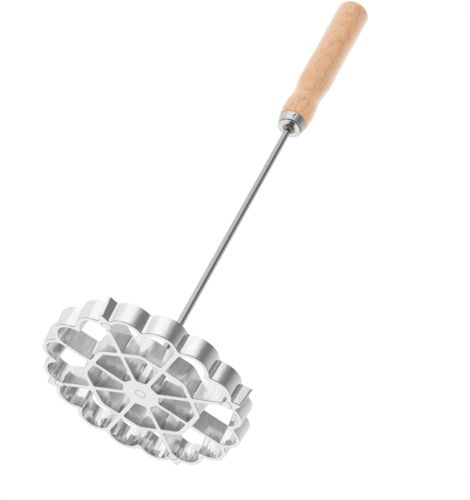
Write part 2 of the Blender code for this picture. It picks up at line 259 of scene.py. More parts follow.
def grain(tree, sizes, detail=2.0, roughness=0.5):
    # noise whose features have these real sizes in millimetres along X, Y and Z
    scaled = addNode(tree, "ShaderNodeVectorMath", {
        0: objectPlace(tree), 1: [1000 / size for size in sizes],
    }, operation="MULTIPLY")
    noise = addNode(tree, "ShaderNodeTexNoise", {
        "Vector": scaled.outputs["Vector"], "Scale": 1.0, "Detail": detail, "Roughness": roughness,
    })
    return noise.outputs["Fac"]


def colourMix(tree, factor, first, second):
    node = addNode(tree, "ShaderNodeMixRGB", {
        "Fac": factor,
        "Color1": first if isinstance(first, bpy.types.NodeSocket) else linearColour(first),
        "Color2": second if isinstance(second, bpy.types.NodeSocket) else linearColour(second),
    })
    return node.outputs["Color"]


def setColour(tree, shader, colour):
    tree.links.new(colour, shader.inputs["Base Color"])


def setClouded(tree, shader, noise, first, second):
    # the noise seldom leaves this band, so both colours are reached
    setColour(tree, shader, colourMix(tree, mapRange(tree, noise, 0.3, 0.7), first, second))


def addBump(tree, shader, height, distance, strength):
    # bumps are chained, so that each one sits on the last
    before = shader.inputs["Normal"].links
    inputs = {"Height": height, "Distance": distance, "Strength": strength}
    if before:
        inputs["Normal"] = before[0].from_socket
    bump = addNode(tree, "ShaderNodeBump", inputs)
    tree.links.new(bump.outputs["Normal"], shader.inputs["Normal"])


def groundAluminium():
    # a flat belt-ground face: bright and even, with fine parallel lines that soften reflections
    material, tree, shader = newMaterial("groundAluminium", 1.0, 0.3)
    setClouded(tree, shader, grain(tree, (9.0, 9.0, 9.0)), "D9DADB", "DEDEDE")
    addBump(tree, shader, grain(tree, (40.0, 0.35, 5.0), detail=3.0), 0.00002, 0.5)
    return material


def polishedAluminium():
    # buffed outside of the casting: a clear mirror with slow waves that bend the reflections
    material, tree, shader = newMaterial("polishedAluminium", 1.0, 0.13)
    setClouded(tree, shader, grain(tree, (5.0, 5.0, 9.0)), "DFE0E1", "E7E7E8")
    addBump(tree, shader, grain(tree, (4.0, 4.0, 12.0), detail=1.0), 0.0003, 0.5)
    addBump(tree, shader, grain(tree, (1.3, 1.3, 3.0)), 0.00012, 0.5)
    addBump(tree, shader, grain(tree, (0.8, 0.8, 10.0), detail=3.0), 0.00003, 0.35)
    return material


# Walls inside the cells: a thin oxide skin dulls the webs, the rim's insides are wavier, and
# the tight corners came out of the die the smoothest. Streaks are the strength of their bump,
# wave widths are in millimetres and wave depths in metres.
castLooks = {
    "castWebs": {
        "metallic": 0.84, "roughness": 0.13, "streaks": 0.14, "waveWidth": 3.0, "waveDepth": 0.0003,
    },
    "castRim": {
        "metallic": 0.97, "roughness": 0.08, "streaks": 0.06, "waveWidth": 2.8, "waveDepth": 0.001,
    },
    "castCorners": {
        "metallic": 1.0, "roughness": 0.04, "streaks": 0.1, "waveWidth": 3.0, "waveDepth": 0.0001,
    },
}


def castAluminium(name):
    # straight from the die: greyer than the buffed outside, and streaked along the draw
    look = castLooks[name]
    material, tree, shader = newMaterial(name, look["metallic"], look["roughness"])
    streaks = grain(tree, (0.9, 0.9, 14.0), detail=4.0, roughness=0.65)
    setClouded(tree, shader, streaks, "D8D9DA", "EBEBEC")
    addBump(tree, shader, streaks, 0.00012, look["streaks"])
    waves = grain(tree, (look["waveWidth"], look["waveWidth"], 11.0), detail=1.0)
    addBump(tree, shader, waves, look["waveDepth"], 0.5)
    return material


def castBack():
    # the back is left as cast: a soft sheen over a fine grain
    material, tree, shader = newMaterial("castBack", 1.0, 0.36)
    setClouded(tree, shader, grain(tree, (3.0, 3.0, 3.0), detail=3.0), "CFD0D2", "DEDFE0")
    addBump(tree, shader, grain(tree, (0.6, 0.6, 0.6), detail=3.0), 0.00006, 0.5)
    return material


def pinGapPaintedShade():
    # the hairline round each ejector pin's mark is painted dark grey as painted shade in the
    # groove, so it reads as a thin dark line
    material, tree, shader = newMaterial("pinGapPaintedShade", 0.7, 0.5)
    setColour(tree, shader, colourMix(tree, grain(tree, (0.5, 0.5, 0.5)), "77787A", "96979A"))
    return material


def drawnSteel():
    # bright drawn bar: fine lines along its length spread the reflections across it
    material, tree, shader = newMaterial("drawnSteel", 1.0, 0.1)
    lines = grain(tree, (0.3, 0.3, 30.0), detail=3.0)
    setClouded(tree, shader, lines, "C4C3C1", "CCCBC9")
    addBump(tree, shader, lines, 0.000005, 0.3)
    return material


def nickelPlate():
    # satin nickel over drawn sheet: a soft mirror with faint marks round the draw
    material, tree, shader = newMaterial("nickelPlate", 1.0, 0.13)
    marks = grain(tree, (6.0, 6.0, 0.35))
    setClouded(tree, shader, marks, "CAC9C7", "D1D0CE")
    addBump(tree, shader, marks, 0.00002, 0.35)
    return material


# Turned beech: rings are layers round a pith line that leans away from the handle's axis, so
# they cut the surface as arcs on the broad side and as lines beside it. The pairs are shares of
# one ring, or of the noise, between which a mark comes in or goes out.
beech = {
    "pithAzimuth": 218.0,
    "pithDistance": 0.055,
    "pithLean": -0.085,
    "ringWidth": 0.00115,
    "slowWander": 0.0012,
    "quickWander": 0.00032,
    "lateWood": (0.3, 1.0),
    "lateShare": 0.22,
    "cloud": (0.35, 0.65),
    "cloudShare": 0.5,
    "lineStart": (0.68, 0.85),
    "lineEnd": (0.9, 1.0),
    "lineBreaks": (0.45, 0.62),
    "lineShare": 0.42,
    "flecks": (0.56, 0.68),
    "fleckShare": 0.5,
    "fleckGroups": (0.4, 0.62),
    "fleckLeast": 0.35,
    # the painted sheen: across this facing band the wood's colour is painted paler towards the
    # silhouette, in place of light caught by the coat
    "slope": (0.36, 1.0),
    "paintedSheenShare": 0.9,
    "light": "DDB08A",
    "middle": "D69F74",
    "dark": "BC875C",
    "line": "9C6B47",
    "fleck": "8E5F3E",
    "paintedSheen": "F4E6D8",
}


def ringPhase(tree):
    # how far a point lies through the year's ring that it is in, from 0 to 1
    parts = addNode(tree, "ShaderNodeSeparateXYZ", {"Vector": objectPlace(tree)}).outputs
    away = direction(beech["pithAzimuth"], 0.0)
    pith = away * beech["pithDistance"]
    lean = maths(tree, "MULTIPLY", parts["Z"], beech["pithLean"])
    squares = []
    for index, axis in enumerate(("X", "Y")):
        level = maths(tree, "SUBTRACT", parts[axis], pith[index])
        offset = maths(tree, "SUBTRACT", level, maths(tree, "MULTIPLY", lean, away[index]))
        squares.append(maths(tree, "MULTIPLY", offset, offset))
    reach = maths(tree, "SQRT", maths(tree, "ADD", *squares))
    slow, quick = beech["slowWander"], beech["quickWander"]
    slowWave = mapRange(tree, grain(tree, (6.0, 6.0, 19.0), detail=1.0), 0.0, 1.0, -slow, slow)
    quickWave = mapRange(tree, grain(tree, (1.4, 1.4, 5.0)), 0.0, 1.0, -quick, quick)
    wandered = maths(tree, "ADD", reach, maths(tree, "ADD", slowWave, quickWave))
    return maths(tree, "FRACT", maths(tree, "DIVIDE", wandered, beech["ringWidth"]))


def ringFigure(tree):
    # pale early wood that darkens through each ring and ends in a thin, broken line
    ring = ringPhase(tree)
    late = mapRange(tree, ring, *beech["lateWood"], smooth=True)
    late = maths(tree, "MULTIPLY", late, beech["lateShare"])
    figure = colourMix(tree, late, beech["light"], beech["dark"])
    cloud = mapRange(tree, grain(tree, (5.0, 5.0, 70.0)), *beech["cloud"])
    cloud = maths(tree, "MULTIPLY", cloud, beech["cloudShare"])
    body = colourMix(tree, cloud, figure, beech["middle"])
    comesIn = mapRange(tree, ring, *beech["lineStart"], smooth=True)
    goesOut = mapRange(tree, ring, *beech["lineEnd"], 1.0, 0.0)
    broken = mapRange(tree, grain(tree, (0.8, 0.8, 3.0)), *beech["lineBreaks"])
    line = maths(tree, "MULTIPLY", maths(tree, "MULTIPLY", comesIn, goesOut), broken)
    return colourMix(tree, maths(tree, "MULTIPLY", line, beech["lineShare"]), body, beech["line"])


def turnedBeech():
    # sanded and thinly sealed: matt wood under a faint coat, with a painted sheen that makes the
    # colour paler where it is seen aslant
    material, tree, shader = newMaterial("turnedBeech", 0.0, 0.45)
    flecks = mapRange(tree, grain(tree, (0.5, 0.5, 4.0)), *beech["flecks"], smooth=True)
    groups = mapRange(tree, grain(tree, (7.0, 7.0, 20.0), detail=1.0), *beech["fleckGroups"])
    least = beech["fleckLeast"]
    spread = maths(tree, "ADD", least, maths(tree, "MULTIPLY", groups, 1 - least))
    share = maths(tree, "MULTIPLY", maths(tree, "MULTIPLY", flecks, beech["fleckShare"]), spread)
    flecked = colourMix(tree, share, ringFigure(tree), beech["fleck"])
    # painted sheen: the base colour is mixed towards a pale tone by how aslant the surface is seen
    slope = addNode(tree, "ShaderNodeLayerWeight", {"Blend": 0.5}).outputs["Facing"]
    paintedSheen = mapRange(tree, slope, *beech["slope"], 0.0, beech["paintedSheenShare"])
    setColour(tree, shader, colourMix(tree, paintedSheen, flecked, beech["paintedSheen"]))
    addBump(tree, shader, flecks, -0.00004, 0.5)
    shader.inputs["Coat Weight"].default_value = 0.3
    shader.inputs["Coat Roughness"].default_value = 0.35
    return material


def paintedShadeBore():
    # end grain inside the bore, painted near black as painted shade deep in the bore
    material, tree, shader = newMaterial("paintedShadeBore", 0.0, 0.7)
    setColour(tree, shader, colourMix(tree, grain(tree, (0.6, 0.6, 2.0)), "2A1D13", "4A3320"))
    return material


def endGrainPaintedLight():
    # the spigot's cut end: unsealed end grain, its colour painted paler than the wood as painted
    # light on the ring recessed in the ferrule
    material, tree, shader = newMaterial("endGrainPaintedLight", 0.0, 0.8)
    pores = grain(tree, (0.5, 0.5, 0.5), detail=3.0)
    setColour(tree, shader, colourMix(tree, pores, "E3C4AA", "F3E0D2"))
    return material


def polar(radius, angle):
    return Vector((radius * math.cos(angle), radius * math.sin(angle)))


def arcTo(centre, start, end, steps, clockwise=False):
    first, last = start - centre, end - centre
    sweep = (math.atan2(last.y, last.x) - math.atan2(first.y, first.x)) % (2 * math.pi)
    return centre, start, sweep - 2 * math.pi if clockwise else sweep, steps


def lineMeets(point, way, centre, radius, far=False):
    # where a line meets a circle: its first crossing, or its far one
    offset = point - centre
    half = offset.dot(way)
    root = math.sqrt(half ** 2 - offset.dot(offset) + radius ** 2)
    return point + way * (root - half if far else -half - root)


def linesMeet(pointA, wayA, pointB, wayB):
    return pointA + wayA * ((pointB - pointA).cross(wayB) / wayA.cross(wayB))


def cornerArc(corner, before, after, radius, steps):
    wayIn, wayOut = (before - corner).normalized(), (after - corner).normalized()
    half = wayIn.angle(wayOut) / 2
    centre = corner + (wayIn + wayOut).normalized() * radius / math.sin(half)
    reach = radius / math.tan(half)
    clockwise = wayIn.cross(wayOut) > 0
    return arcTo(centre, corner + wayIn * reach, corner + wayOut * reach, steps, clockwise)


def rounding(size, steps):
    # distances of a rounded edge's points from the two flats that it joins
    turns = [math.pi / 2 * step / steps for step in range(steps + 1)]
    return [(size * (1 - math.cos(turn)), size * (1 - math.sin(turn))) for turn in turns]


def wholeOf(bm):
    return bm.verts[:] + bm.edges[:] + bm.faces[:]


def spinAboutZ(bm, geom, angle, steps, **more):
    axis = (0, 0, 1)
    bmesh.ops.spin(bm, geom=geom, cent=(0, 0, 0), axis=axis, angle=angle, steps=steps, **more)


def finishFaces(faces, material, smooth=True):
    for face in faces:
        face.material_index = material
        face.smooth = smooth


def traceOutline(bm, arcs, height, closed):
    # arcs are spun from their first point, and straight edges join them
    ends = []
    for centre, start, sweep, steps in arcs:
        first = bm.verts.new((*start, height))
        turned = bmesh.ops.spin(
            bm, geom=[first], cent=(*centre, height), axis=(0, 0, 1), angle=sweep, steps=steps,
        )
        ends.append((first, turned["geom_last"][0]))
    following = ends[1:] + ends[:1] if closed else ends[1:]
    for (_, last), (first, _) in zip(ends, following):
        bm.edges.new((last, first))


def addMesh(whole, part):
    # moves one mesh under construction into another, and returns the edges that came with it
    known = len(whole.edges)
    mesh = bpy.data.meshes.new("part")
    part.to_mesh(mesh)
    part.free()
    whole.from_mesh(mesh)
    bpy.data.meshes.remove(mesh)
    whole.edges.ensure_lookup_table()
    return whole.edges[known:]


def addWall(whole, arcsAt, levels, copies, material, closed=True):
    # a wall that follows an outline through levels of height and lean, repeated about the Z axis
    bm = bmesh.new()
    loops = []
    for height, lean in levels:
        loop = bmesh.new()
        traceOutline(loop, arcsAt(lean), height, closed)
        bmesh.ops.remove_doubles(loop, verts=loop.verts, dist=weldDistance)
        loops.append(addMesh(bm, loop))
    for below, above in zip(loops, loops[1:]):
        bmesh.ops.bridge_loops(bm, edges=below + above)
    finishFaces(bm.faces, material)
    angle = 2 * math.pi * (copies - 1) / copies
    spinAboutZ(bm, wholeOf(bm), angle, copies - 1, use_duplicate=True)
    bmesh.ops.remove_doubles(bm, verts=bm.verts, dist=weldDistance)
    addMesh(whole, bm)


def turnProfile(bm, points, steps, material=0, closed=False):
    # a profile of radius and height, turned once about the Z axis
    ring = [bm.verts.new((radius, 0, height)) for radius, height in points]
    edges = [bm.edges.new(pair) for pair in zip(ring, ring[1:])]
    if closed:
        edges.append(bm.edges.new((ring[-1], ring[0])))
    before = set(bm.faces)
    spinAboutZ(bm, ring + edges, 2 * math.pi, steps, use_merge=True)
    finishFaces(set(bm.faces) - before, material)


def fillFlat(bm, height, material):
    # closes the open edges that lie at one height, leaving the holes between them
    rim = [
        edge for edge in bm.edges
        if edge.is_boundary and all(abs(v.co.z - height) < weldDistance for v in edge.verts)
    ]
    filled = bmesh.ops.triangle_fill(bm, edges=rim, use_beauty=True)["geom"]
    faces = [item for item in filled if isinstance(item, bmesh.types.BMFace)]
    finishFaces(faces, material, smooth=False)


# Thread: one form for the mould's hole and the rod's foot, from one starting place, so that
# the two mesh. The flanks are shares of a pitch: end of root, crest's two ends, start of root.
threadForm = {
    "pitch": 0.0007,
    "flanks": (0.14, 0.44, 0.56, 0.86),
    "steps": 24,
    "spareTurns": 3,
}


def addThread(bm, major, minor, bottom, top, material):
    # one turn of the thread's outline is screwed upwards, then cut square at both ends
    pitch, steps, spare = threadForm["pitch"], threadForm["steps"], threadForm["spareTurns"]
    turns = math.ceil((top - bottom) / pitch) + spare
    start = math.floor(bottom / pitch - spare / 2) * pitch
    radii = (minor, minor, major, major, minor, minor)
    shares = (0.0, *threadForm["flanks"], 1.0)
    tube = bmesh.new()
    ring = [tube.verts.new((radius, 0, start + s * pitch)) for radius, s in zip(radii, shares)]
    edges = [tube.edges.new(pair) for pair in zip(ring, ring[1:])]
    spinAboutZ(tube, ring + edges, 2 * math.pi * turns, steps * turns, dvec=(0, 0, pitch / steps))
    bmesh.ops.remove_doubles(tube, verts=tube.verts, dist=weldDistance)
    for height, way in ((bottom, -1), (top, 1)):
        bmesh.ops.bisect_plane(
            tube, geom=wholeOf(tube), dist=finalWeld,
            plane_co=(0, 0, height), plane_no=(0, 0, way), clear_outer=True,
        )
    finishFaces(tube.faces, material)
    addMesh(bm, tube)


def addPiece(name, bm, materials, node=None, body=None):
    # a piece of the frame, or without a node a tool that cuts one
    bmesh.ops.remove_doubles(bm, verts=bm.verts, dist=finalWeld)
    bmesh.ops.recalc_face_normals(bm, faces=bm.faces)
    mesh = bpy.data.meshes.new(name)
    bm.to_mesh(mesh)
    bm.free()
    for material in materials:
        mesh.materials.append(material)
    piece = bpy.data.objects.new(name, mesh)
    bpy.context.scene.collection.objects.link(piece)
    if node:
        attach(piece, body)
        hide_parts(node)
    return piece


def cutAway(piece, tool):
    cut = piece.modifiers.new("cut", "BOOLEAN")
    cut.object = tool
    cut.operation = "DIFFERENCE"
    cut.solver = "EXACT"
    bpy.context.view_layer.update()
    whole = piece.evaluated_get(bpy.context.evaluated_depsgraph_get())
    mesh = bpy.data.meshes.new_from_object(whole)
    old = piece.data
    piece.modifiers.clear()
    piece.data = mesh
    mesh.name = old.name
    bpy.data.meshes.remove(old)
    scrap = tool.data
    bpy.data.objects.remove(tool)
    bpy.data.meshes.remove(scrap)


def lowest(node):
    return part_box(node)[0].z


def highest(node):
    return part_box(node)[1].z


# Mould: a drafted casting whose walls lean outwards from the dipping face to the back
mould = {
    "height": 0.011,
    "draft": math.tan(math.radians(5.0)),
    "spokes": 8,
    "petals": 16,
    "petalsPerEar": 4,
    "rimRadius": 0.0544,
    "rimWall": 0.0021,
    "petalOverlap": 0.0028,
    "grooveFillet": 0.002,
    "grooveWeb": 0.0035,
    "earHeight": 0.0017,
    "earHalfAngle": math.radians(29.0),
    "earEdge": 0.0011,
    "earFillet": 0.0012,
    "spokeWidth": 0.0024,
    "ringRadius": 0.0298,
    "ringWall": 0.0026,
    "ringCorner": 0.0055,
    "hubRadius": 0.0097,
    "hubCorner": 0.002,
    "cellCorner": 0.001,
    "faceEdge": 0.00025,
    "rimEdge": 0.0004,
    "backEdge": 0.0002,
    "edgeSteps": 4,
    "wallRows": (0.3, 0.6, 0.85),
    "bossRadius": 0.0062,
    "bossHeight": 0.0025,
    "bossEdge": 0.0006,
    "bossFillet": 0.0007,
    "bossEdgeSteps": 6,
    "bossSteps": 64,
    "mouthRadius": 0.0025,
    "mouthDepth": 0.0005,
    "mouthStep": 0.00008,
    "holeFloor": 0.003,
    "threadMajor": 0.00213,
    "threadMinor": 0.00176,
    "pinRadius": 0.0027,
    "pinPlaces": ((0.0484, 0.0), (0.0, 0.0484), (-0.0484, 0.0), (0.0, -0.0484)),
    "pinLine": 0.0003,
    "pinDepth": 0.00025,
    "pinSteps": 48,
}

# How many steps draw each kind of arc in the mould's outlines
arcSteps = {
    "groove": 10,
    "earFoot": 7,
    "earTip": 8,
    "petal": 22,
    "petalInside": 18,
    "cusp": 12,
    "corner": 6,
    "ringCorner": 10,
}

# The mould's materials, by their place in its list, and what marks some of the cells' faces:
# the rim's inside lies beyond rimFrom and faces the hub by more than rimFacing, and the tight
# corners have steps shorter than cornerStep
mouldFinish = {
    "face": 0,
    "outside": 1,
    "webs": 2,
    "back": 3,
    "pins": 4,
    "rimInside": 5,
    "corners": 6,
}
finishLimits = {"rimFrom": 0.038, "rimFacing": 0.4, "cornerStep": 0.0004}


def edgeLevels(faceEdge):
    # heights and leans of a wall with a rounded edge at each end
    height, backEdge, steps = mould["height"], mould["backEdge"], mould["edgeSteps"]
    levels = rounding(faceEdge, steps)
    levels.append((faceEdge * holdingRow, 0.0))
    levels.extend((height * share, 0.0) for share in mould["wallRows"])
    levels.append((height - backEdge * holdingRow, 0.0))
    levels.extend((height - down, inset) for down, inset in reversed(rounding(backEdge, steps)))
    return [(place, place * mould["draft"] - inset) for place, inset in levels]


def petalSizes():
    half = math.pi / mould["petals"]
    share = math.sin(half)
    radius = (mould["rimRadius"] * share + mould["petalOverlap"] / 2) / (1 + share)
    circle = mould["rimRadius"] - radius
    return radius, circle, circle * share, circle * math.cos(half)


petalRadius, petalCircle, halfPitch, pitchRadius = petalSizes()


def grooveRadius(lean):
    reach = petalRadius + lean + mould["grooveFillet"]
    return pitchRadius + math.sqrt(reach ** 2 - halfPitch ** 2)


def cuspFillet():
    wall = petalRadius - mould["rimWall"]
    tip = grooveRadius(0.0) - mould["grooveFillet"] - mould["grooveWeb"] - pitchRadius
    return (tip ** 2 + halfPitch ** 2 - wall ** 2) / (2 * (wall - tip))


def petalsBeside(angle):
    return [polar(petalCircle, angle + side * math.pi / mould["petals"]) for side in (-1, 1)]


def valleyArcs(index, lean):
    # the groove between two petals, or at every fourth valley an ear that stands in it
    angle = index * 2 * math.pi / mould["petals"]
    radius = petalRadius + lean
    petals = petalsBeside(angle)
    if index % mould["petalsPerEar"]:
        centre = polar(grooveRadius(lean), angle)
        ends = [petal + (centre - petal).normalized() * radius for petal in petals]
        return [arcTo(centre, ends[0], ends[1], arcSteps["groove"], clockwise=True)]
    half, edge, fillet = mould["earHalfAngle"], mould["earEdge"], mould["earFillet"]
    reach = mould["rimRadius"] + mould["earHeight"] - edge
    tip = polar(reach + (edge + lean) / math.sin(half), angle)
    feet = []
    for side, petal in zip((-1, 1), petals):
        outward = polar(fillet, angle + side * (math.pi / 2 - half))
        centre = lineMeets(tip + outward, polar(-1, angle - side * half), petal, radius + fillet)
        feet.append((centre, petal + (centre - petal).normalized() * radius, centre - outward))
    (first, firstPetal, firstFlank), (last, lastPetal, lastFlank) = feet
    return [
        arcTo(first, firstPetal, firstFlank, arcSteps["earFoot"], clockwise=True),
        cornerArc(tip, firstFlank, lastFlank, edge, arcSteps["earTip"]),
        arcTo(last, lastFlank, lastPetal, arcSteps["earFoot"], clockwise=True),
    ]


def rimArcs(lean):
    # a quarter of the rim, from the foot of one ear to the foot of the next
    valleys = [valleyArcs(index, lean) for index in range(mould["petalsPerEar"] + 1)]
    arcs = []
    for index, (valley, following) in enumerate(zip(valleys, valleys[1:])):
        centre = polar(petalCircle, (index + 0.5) * 2 * math.pi / mould["petals"])
        pivot, start, sweep, _ = valley[-1]
        end = pivot + Matrix.Rotation(sweep, 2) @ (start - pivot)
        arcs.extend(valley)
        arcs.append(arcTo(centre, end, following[0][1], arcSteps["petal"]))
    return arcs


def sectorFaces(lean):
    # the two spoke faces that bound the first sector, each as a point and a way out from the hub
    faces = []
    for side, angle in ((1, 0.0), (-1, 2 * math.pi / mould["spokes"])):
        across = side * (mould["spokeWidth"] / 2 + lean)
        faces.append((polar(across, angle + math.pi / 2), polar(1, angle)))
    return faces


def ringEnds(flat, faces):
    # where the ring's two flats, square to the spokes, meet the spokes' faces
    angles = (0.0, 2 * math.pi / mould["spokes"])
    return [
        linesMeet(*face, polar(flat, angle), polar(1, angle + math.pi / 2))
        for face, angle in zip(faces, angles)
    ]


def innerCellArcs(lean):
    middle = math.pi / mould["spokes"]
    faces = sectorFaces(lean)
    flat = mould["ringRadius"] - mould["ringWall"] - lean
    near, far = ringEnds(flat, faces)
    top = polar(flat / math.cos(middle), middle)
    hub = (polar(mould["hubRadius"] + lean, middle), polar(1, middle + math.pi / 2))
    low, high = [linesMeet(*face, *hub) for face in faces]
    steps = arcSteps["corner"]
    return [
        cornerArc(low, high, near, mould["hubCorner"], steps),
        cornerArc(near, low, top, mould["cellCorner"], steps),
        cornerArc(top, near, far, mould["ringCorner"], arcSteps["ringCorner"]),
        cornerArc(far, top, high, mould["cellCorner"], steps),
        cornerArc(high, far, low, mould["hubCorner"], steps),
    ]


def outerCellArcs(lean):
    middle = math.pi / mould["spokes"]
    faces = sectorFaces(lean)
    flat = mould["ringRadius"] + lean
    near, far = ringEnds(flat, faces)
    top = polar(flat / math.cos(middle), middle)
    radius = petalRadius - mould["rimWall"] - lean
    corner, steps = mould["cellCorner"], arcSteps["corner"]
    cuspRadius = cuspFillet() + lean
    cusp = polar(pitchRadius + math.sqrt((radius + cuspRadius) ** 2 - halfPitch ** 2), middle)
    petals = petalsBeside(middle)
    cuspEnds = [petal + (cusp - petal).normalized() * radius for petal in petals]
    feet = []
    for (point, way), petal, side in zip(faces, petals, (1, -1)):
        inward = Vector((-way.y, way.x)) * corner * side
        centre = lineMeets(point + inward, way, petal, radius - corner, far=True)
        feet.append((centre, centre - inward, petal + (centre - petal).normalized() * radius))
    (first, firstFace, firstPetal), (last, lastFace, lastPetal) = feet
    ringCorner = mould["ringCorner"] + mould["ringWall"]
    return [
        cornerArc(near, top, firstFace, corner, steps),
        arcTo(first, firstFace, firstPetal, steps),
        arcTo(petals[0], firstPetal, cuspEnds[0], arcSteps["petalInside"]),
        arcTo(cusp, cuspEnds[0], cuspEnds[1], arcSteps["cusp"], clockwise=True),
        arcTo(petals[1], cuspEnds[1], lastPetal, arcSteps["petalInside"]),
        arcTo(last, lastPetal, lastFace, steps),
        cornerArc(far, lastFace, top, corner, steps),
        cornerArc(top, far, near, ringCorner, arcSteps["ringCorner"]),
    ]


def addCells(bm):
    levels = edgeLevels(mould["faceEdge"])
    for arcsAt in (innerCellArcs, outerCellArcs):
        addWall(bm, arcsAt, levels, mould["spokes"], mouldFinish["webs"])
    bm.normal_update()
    for face in bm.faces:
        # the rim's own inner walls face the hub and took the die's polish better
        place = face.calc_center_median().xy
        facing = abs(face.normal.xy.dot(place.normalized()))
        if place.length > finishLimits["rimFrom"] and facing > finishLimits["rimFacing"]:
            face.material_index = mouldFinish["rimInside"]
    for face in bm.faces:
        # the tight corners of the cells, where the die was polished along the fillet
        lengths = [
            edge.calc_length() for edge in face.edges
            if abs(edge.verts[0].co.z - edge.verts[1].co.z) < weldDistance
        ]
        if min(lengths) < finishLimits["cornerStep"]:
            face.material_index = mouldFinish["corners"]


def addBoss(bm):
    # the boss on the back, filleted into it, round a threaded hole with an open mouth
    height, back, steps = mould["height"], mouldFinish["back"], mould["bossEdgeSteps"]
    top = height + mould["bossHeight"]
    mouth = top - mould["mouthDepth"]
    foot = mould["bossRadius"] + mould["bossHeight"] * mould["draft"]
    profile = [(foot + out, height + up) for up, out in rounding(mould["bossFillet"], steps)]
    profile += [
        (mould["bossRadius"] - inset, top - down)
        for inset, down in rounding(mould["bossEdge"], steps)
    ]
    profile += [(mould["mouthRadius"], top), (mould["threadMajor"] + mould["mouthStep"], mouth)]
    turnProfile(bm, profile, mould["bossSteps"], back)
    addThread(bm, mould["threadMajor"], mould["threadMinor"], mould["holeFloor"], mouth, back)
    fillFlat(bm, 0.0, mouldFinish["face"])
    for level in (height, mouth, mould["holeFloor"]):
        fillFlat(bm, level, back)


def pinLines(materials):
    # a fine groove round the mark of the hub's ejector pin, and its copies near the four ears
    line, depth, radius = mould["pinLine"], mould["pinDepth"], mould["pinRadius"]
    groove = [(radius - line, -depth), (radius + line, -depth), (radius, depth)]
    bm = bmesh.new()
    turnProfile(bm, groove, mould["pinSteps"], mouldFinish["pins"], closed=True)
    ring = wholeOf(bm)
    for place in mould["pinPlaces"]:
        copy = bmesh.ops.duplicate(bm, geom=ring)["geom"]
        verts = [item for item in copy if isinstance(item, bmesh.types.BMVert)]
        bmesh.ops.translate(bm, verts=verts, vec=(*place, 0))
    return addPiece("pinLines", bm, materials)


def addMould():
    bm = bmesh.new()
    addCells(bm)
    ears = mould["petals"] // mould["petalsPerEar"]
    levels = edgeLevels(mould["rimEdge"])
    addWall(bm, rimArcs, levels, ears, mouldFinish["outside"], closed=False)
    addBoss(bm)
    materials = [
        groundAluminium(), polishedAluminium(), castAluminium("castWebs"), castBack(), pinGapPaintedShade(),
        castAluminium("castRim"), castAluminium("castCorners"),
    ]
    piece = addPiece("castMould", bm, materials, "rosette_mould", "mould")
    cutAway(piece, pinLines(materials))


addMould()
print("mould cast")


# Rod: drawn bar, threaded at its foot
rod = {
    "foot": lowest("rod"),
    "top": highest("rod"),
    "radius": 0.002,
    "threadMajor": 0.00196,
    "threadMinor": 0.00159,
    "threadTop": 0.0131,
    "threadChamfer": 0.0005,
    "chamfer": 0.0005,
    "shoulder": 0.00015,
    "shoulderInset": 0.00001875,
    "holdingLength": 0.00045,
    "steps": 48,
}


def addRod():
    foot, major = rod["foot"], rod["threadMajor"]
    bm = bmesh.new()
    addThread(bm, major, rod["threadMinor"], foot, rod["threadTop"], 0)
    for vert in bm.verts:
        # the thread's first turn runs out in a chamfer
        allowed = major - rod["threadChamfer"] + (vert.co.z - foot)
        reach = vert.co.xy.length
        if reach > allowed:
            vert.co.xy *= allowed / reach
    radius, start, end = rod["radius"], rod["threadTop"], rod["top"] - rod["chamfer"]
    turnProfile(bm, [
        (radius - rod["shoulderInset"], start),
        (radius, start + rod["shoulder"]),
        (radius, start + rod["holdingLength"]),
        (radius, end - rod["holdingLength"]),
        (radius, end),
        (radius - rod["chamfer"], rod["top"]),
    ], rod["steps"])
    for height in (foot, start, rod["top"]):
        fillFlat(bm, height, 0)
    addPiece("steelRod", bm, [drawnSteel()], "rod", "handle_and_rod")


addRod()
print("rod threaded")


# Ferrule: drawn cup with a pierced end, a rolled lip and one dimple
ferrule = {
    "base": lowest("ferrule"),
    "top": highest("ferrule"),
    "endRadius": 0.007,
    "rimRadius": 0.0082,
    "sheet": 0.0007,
    "edge": 0.0009,
    "lip": 0.00032,
    "hole": 0.0038,
    "holeHold": 0.0003,
    "holeEdge": 0.0002,
    "holeInside": 0.00015,
    "innerCorner": 0.0004,
    "cornerSteps": 6,
    "dimpleRadius": 0.0022,
    "dimpleDepth": 0.00018,
    "dimpleAzimuth": 32.0,
    "dimpleMesh": (64, 40),
    "steps": 96,
}


def roundedProfile(bm, corners, steps):
    # a closed outline of radius and height, each corner rounded by its own distance
    ring = [bm.verts.new((radius, 0, height)) for radius, height, _ in corners]
    bm.faces.new(ring)
    for size in sorted({corner[2] for corner in corners} - {0}):
        chosen = [vert for vert, corner in zip(ring, corners) if corner[2] == size]
        bmesh.ops.bevel(
            bm, geom=chosen, offset=size, offset_type="OFFSET", segments=steps, profile=0.5,
            affect="VERTICES",
        )
    outline = bm.verts[:] + bm.edges[:]
    bmesh.ops.delete(bm, geom=bm.faces[:], context="FACES_ONLY")
    return outline


def ferruleRadius(height):
    share = (height - ferrule["base"]) / (ferrule["top"] - ferrule["base"])
    return ferrule["endRadius"] + (ferrule["rimRadius"] - ferrule["endRadius"]) * share


def dimplePunch(plate):
    height, radius = (ferrule["base"] + ferrule["top"]) / 2, ferrule["dimpleRadius"]
    across, along = ferrule["dimpleMesh"]
    reach = ferruleRadius(height) + radius - ferrule["dimpleDepth"]
    centre = polar(reach, math.radians(ferrule["dimpleAzimuth"]))
    place = Matrix.Translation((*centre, height))
    bm = bmesh.new()
    bmesh.ops.create_uvsphere(bm, u_segments=across, v_segments=along, radius=radius, matrix=place)
    finishFaces(bm.faces, 0)
    return addPiece("dimplePunch", bm, [plate])


